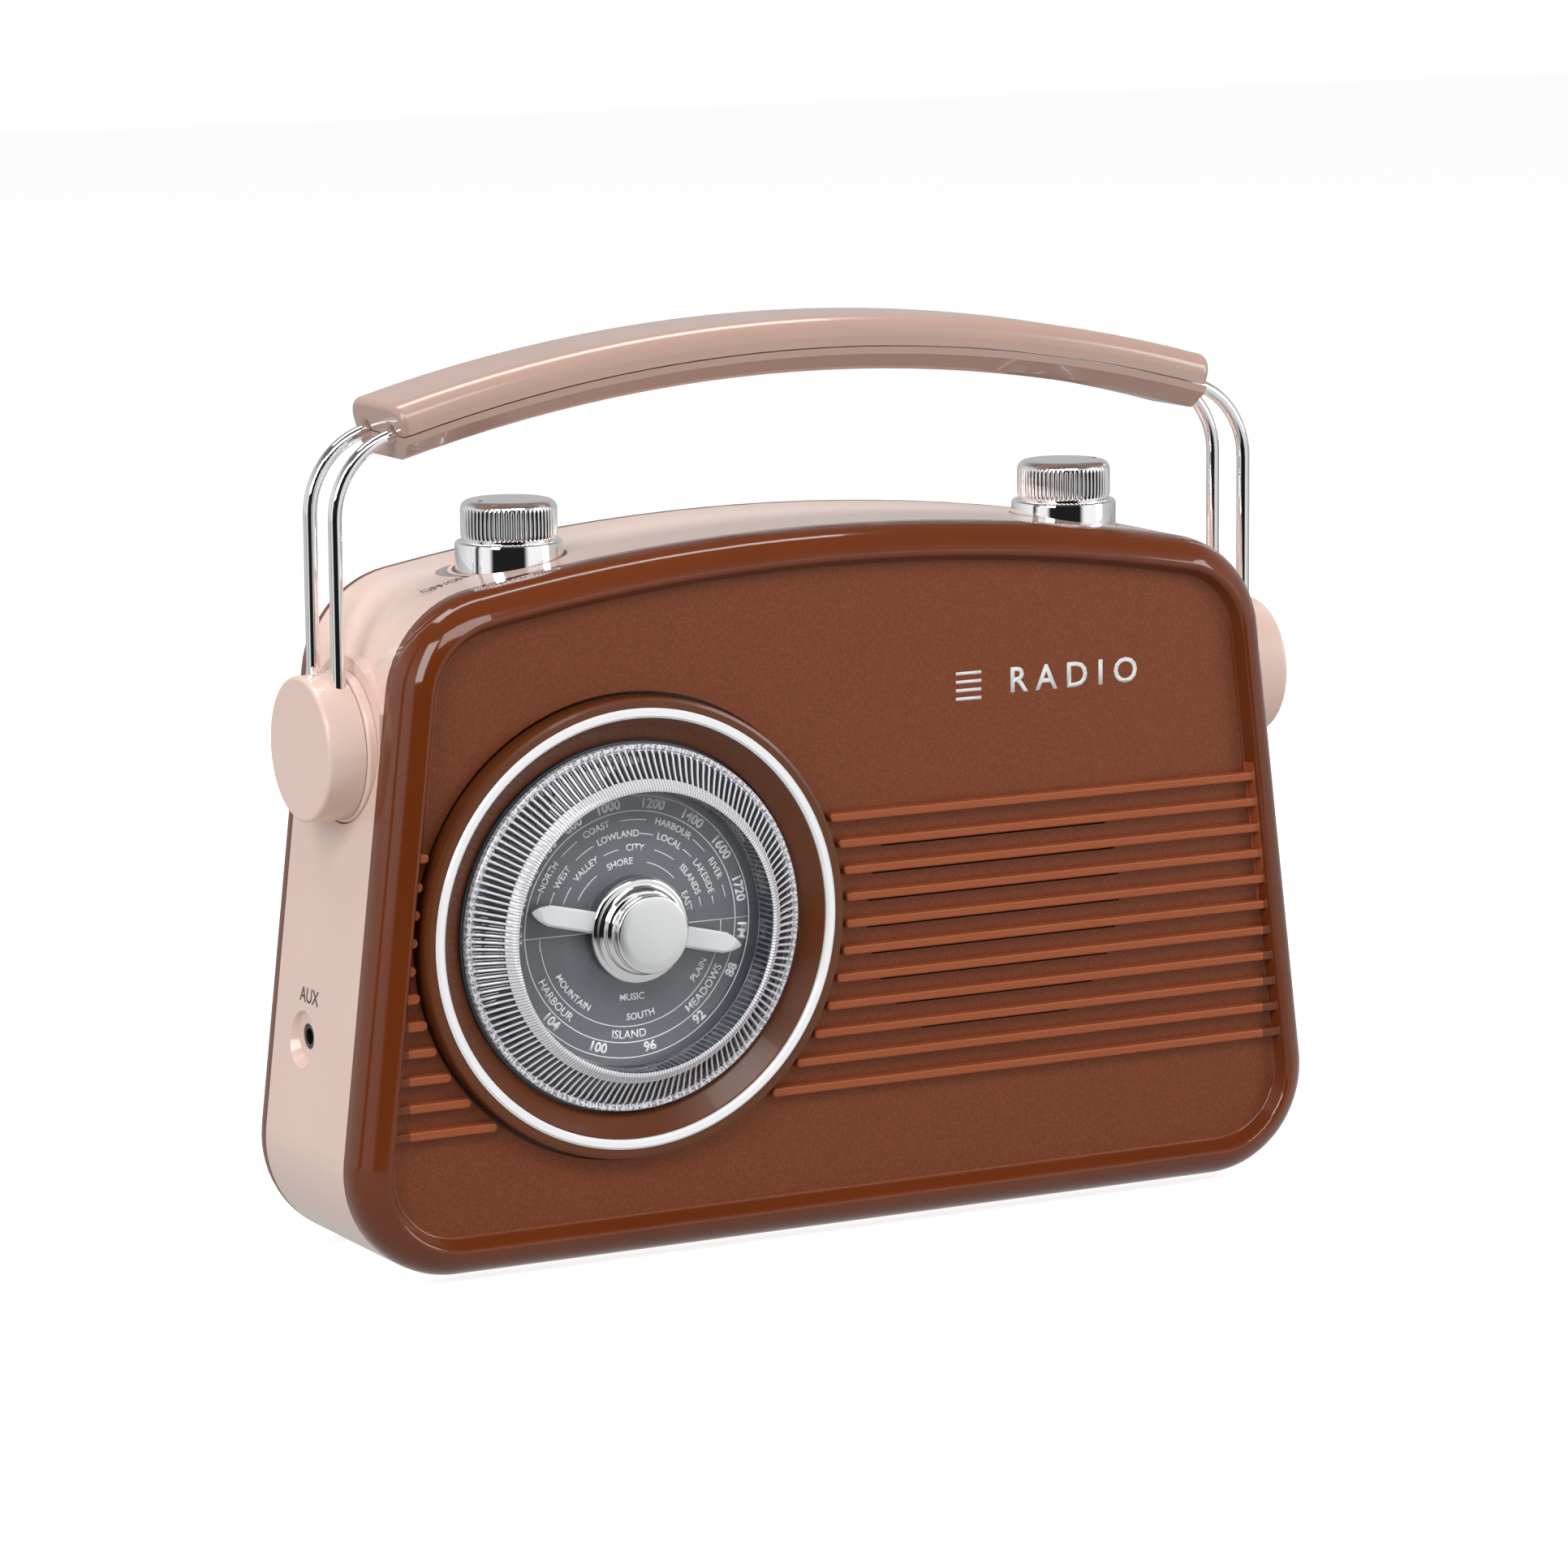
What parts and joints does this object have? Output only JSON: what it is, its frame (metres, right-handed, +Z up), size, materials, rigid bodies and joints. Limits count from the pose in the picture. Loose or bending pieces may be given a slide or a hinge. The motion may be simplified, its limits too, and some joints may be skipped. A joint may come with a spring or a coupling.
{
  "type": "portable radio",
  "caption": "Retro portable radio: bezel with a round clear tuning dial and ribbed loudspeaker grille, arched case, top knobs, swinging carry handle, rear battery door and folding aerial.",
  "frame": {"origin": "under the middle of the whole object, on the plane its four feet stand on", "axes": "+X to the right seen from the front, +Y to the back, +Z up; front face toward -Y"},
  "size_m": [0.2408, 0.0676, 0.2028],
  "materials": {
    "brown_gloss": "deep gloss brown moulding",
    "tan_gloss": "pinkish beige gloss moulding",
    "satin_chrome": "satin spun face",
    "bright_chrome": "mirror bright",
    "silver_trim": "bright silver white",
    "clear_dial": "clear moulded plastic with prisms",
    "dial_print": "graphite grey with white print",
    "pointer_frost": "pale frosted",
    "steel": "plain",
    "zinc": "zinc plated",
    "black_plastic": "moulded black",
    "cloth": "black woven",
    "paper": "pressed paper pulp",
    "foam": "soft roll",
    "magnet": "sintered ferrite",
    "copper": "enamelled winding",
    "board": "phenolic circuit board",
    "ferrite": "sintered rod",
    "rubber": "soft foot",
    "cell": "printed metal jacket",
    "spring": "nickel plated"
  },
  "bodies": {
    "case": {"front_bezel": "brown_gloss", "rear_cover": "brown_gloss", "rear_rim": "brown_gloss", "dial_surround": "brown_gloss", "middle_shell": "tan_gloss", "pivot_flange_left": "tan_gloss", "pivot_flange_right": "tan_gloss", "dial_trim_ring": "silver_trim", "dial_plate": "dial_print", "speaker_basket": "steel", "speaker_yoke": "steel", "tuning_capacitor": "steel", "pivot_bolts": "steel", "volume_pot": "steel", "band_switch": "steel", "speaker_screws": "zinc", "case_screws": "zinc", "board_screws": "zinc", "aux_jack": "black_plastic", "dc_jack": "black_plastic", "battery_tray": "black_plastic", "board_components": "black_plastic", "ferrite_holders": "black_plastic", "grille_cloth": "cloth", "speaker_cone": "paper", "speaker_dust_cap": "paper", "speaker_surround": "foam", "speaker_magnet": "magnet", "voice_coil": "copper", "ferrite_coil": "copper", "control_board": "board", "main_board": "board", "ferrite_rod": "ferrite", "foot_front_left": "rubber", "foot_front_right": "rubber", "foot_rear_left": "rubber", "foot_rear_right": "rubber", "battery_cells": "cell", "battery_contacts": "spring"},
    "dial": {"tuning_dial": "clear_dial", "tuning_pointer": "pointer_frost", "tuning_hub": "bright_chrome", "tuning_hub_cap": "satin_chrome", "tuning_shaft": "steel"},
    "volume": {"volume_knob": "bright_chrome", "volume_shaft": "steel"},
    "band": {"band_knob": "bright_chrome", "band_shaft": "steel"},
    "handle": {"grip_upper": "tan_gloss", "grip_lower": "tan_gloss", "grip_screws": "zinc", "handle_rod_front": "bright_chrome", "handle_rod_rear": "bright_chrome", "pivot_cap_left": "tan_gloss", "pivot_cap_right": "tan_gloss"},
    "door": {"battery_door": "brown_gloss"},
    "aerial_base": {"antenna_swivel": "black_plastic"},
    "aerial_mast": {"antenna_mast": "bright_chrome"},
    "aerial_second": {"antenna_section_2": "bright_chrome"},
    "aerial_third": {"antenna_section_3": "bright_chrome"}
  },
  "joints": [
    {"name": "handle_swing", "type": "hinge", "parent": "case", "child": "handle", "pos_m": [0, 0.00175, 0.1152], "axis": [1, 0, 0], "range_deg": [-90, 90]},
    {"name": "tuning_turn", "type": "hinge", "parent": "case", "child": "dial", "pos_m": [-0.0539, 0, 0.0741], "axis": [0, 1, 0], "range_deg": [-15, 150]},
    {"name": "volume_turn", "type": "hinge", "parent": "case", "child": "volume", "pos_m": [-0.0698, 0.00175, 0.15], "axis": [0, 0, -1], "range_deg": [0, 300]},
    {"name": "band_turn", "type": "hinge", "parent": "case", "child": "band", "pos_m": [0.0698, 0.00175, 0.15], "axis": [0, 0, -1], "range_deg": [0, 60]},
    {"name": "battery_door_hinge", "type": "hinge", "parent": "case", "child": "door", "pos_m": [0, 0.03285, 0.0104], "axis": [-1, 0, 0], "range_deg": [0, 90]},
    {"name": "aerial_swing", "type": "hinge", "parent": "case", "child": "aerial_base", "pos_m": [0.084, 0.0308, 0.143], "axis": [0, 1, 0], "range_deg": [0, 90]},
    {"name": "aerial_tilt", "type": "hinge", "parent": "aerial_base", "child": "aerial_mast", "pos_m": [0.084, 0.0308, 0.143], "axis": [0, 0, -1], "range_deg": [0, 90]},
    {"name": "aerial_second_slide", "type": "slide", "parent": "aerial_mast", "child": "aerial_second", "axis": [-1, 0, 0], "range_m": [0, 0.12]},
    {"name": "aerial_third_slide", "type": "slide", "parent": "aerial_second", "child": "aerial_third", "axis": [-1, 0, 0], "range_m": [0, 0.12]}
  ]
}
